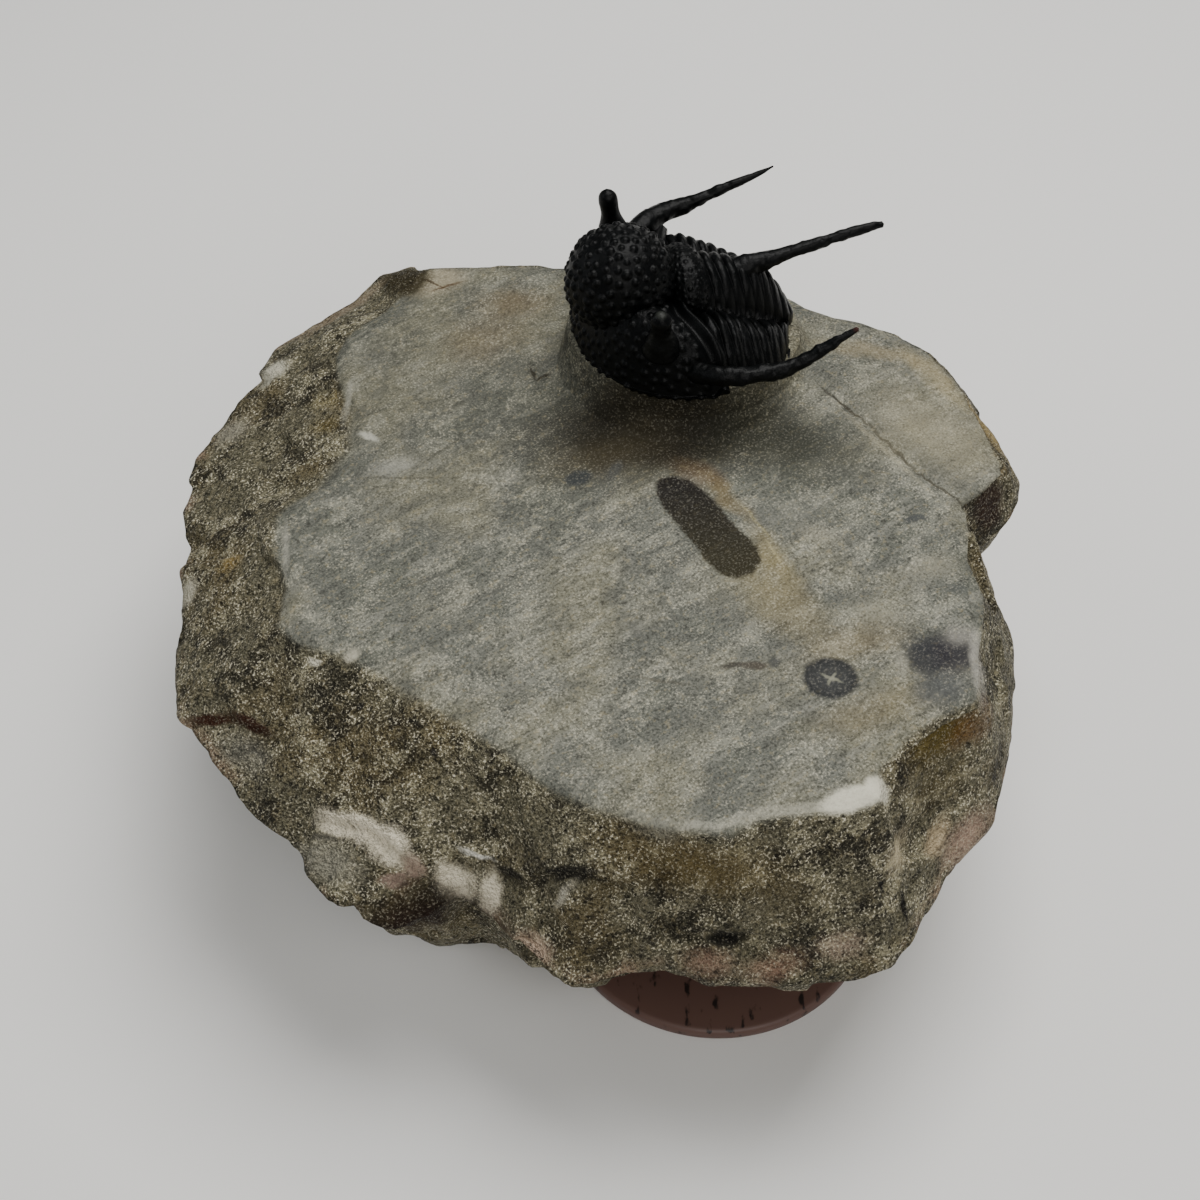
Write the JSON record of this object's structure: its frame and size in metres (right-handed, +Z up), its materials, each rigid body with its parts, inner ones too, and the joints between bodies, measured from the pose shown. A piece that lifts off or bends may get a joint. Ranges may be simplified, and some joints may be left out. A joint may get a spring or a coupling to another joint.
{
  "type": "cyphaspis trilobite fossil",
  "caption": "Black trilobite with long curved spines and eyes on stalks, standing free on a broken grey limestone block that rests on a thin wooden disc.",
  "frame": {"origin": "centre of the wooden disc's underside, on the surface that the object stands on", "axes": "+X to the right and +Y to the back of the block as the picture shows it, +Z up"},
  "size_m": [0.0669, 0.0662, 0.0411],
  "materials": {
    "fossil": "black fossil calcite with a fine tuberculate surface and a dull sheen",
    "limestone": "grey limestone, its top ground smooth and matt, its broken edges dark and granular",
    "disc_wood": "red-brown wood with short dark flecks, smooth and satin"
  },
  "bodies": {
    "root": {"trilobite": "fossil", "limestone_block": "limestone", "wooden_disc": "disc_wood"}
  },
  "joints": []
}
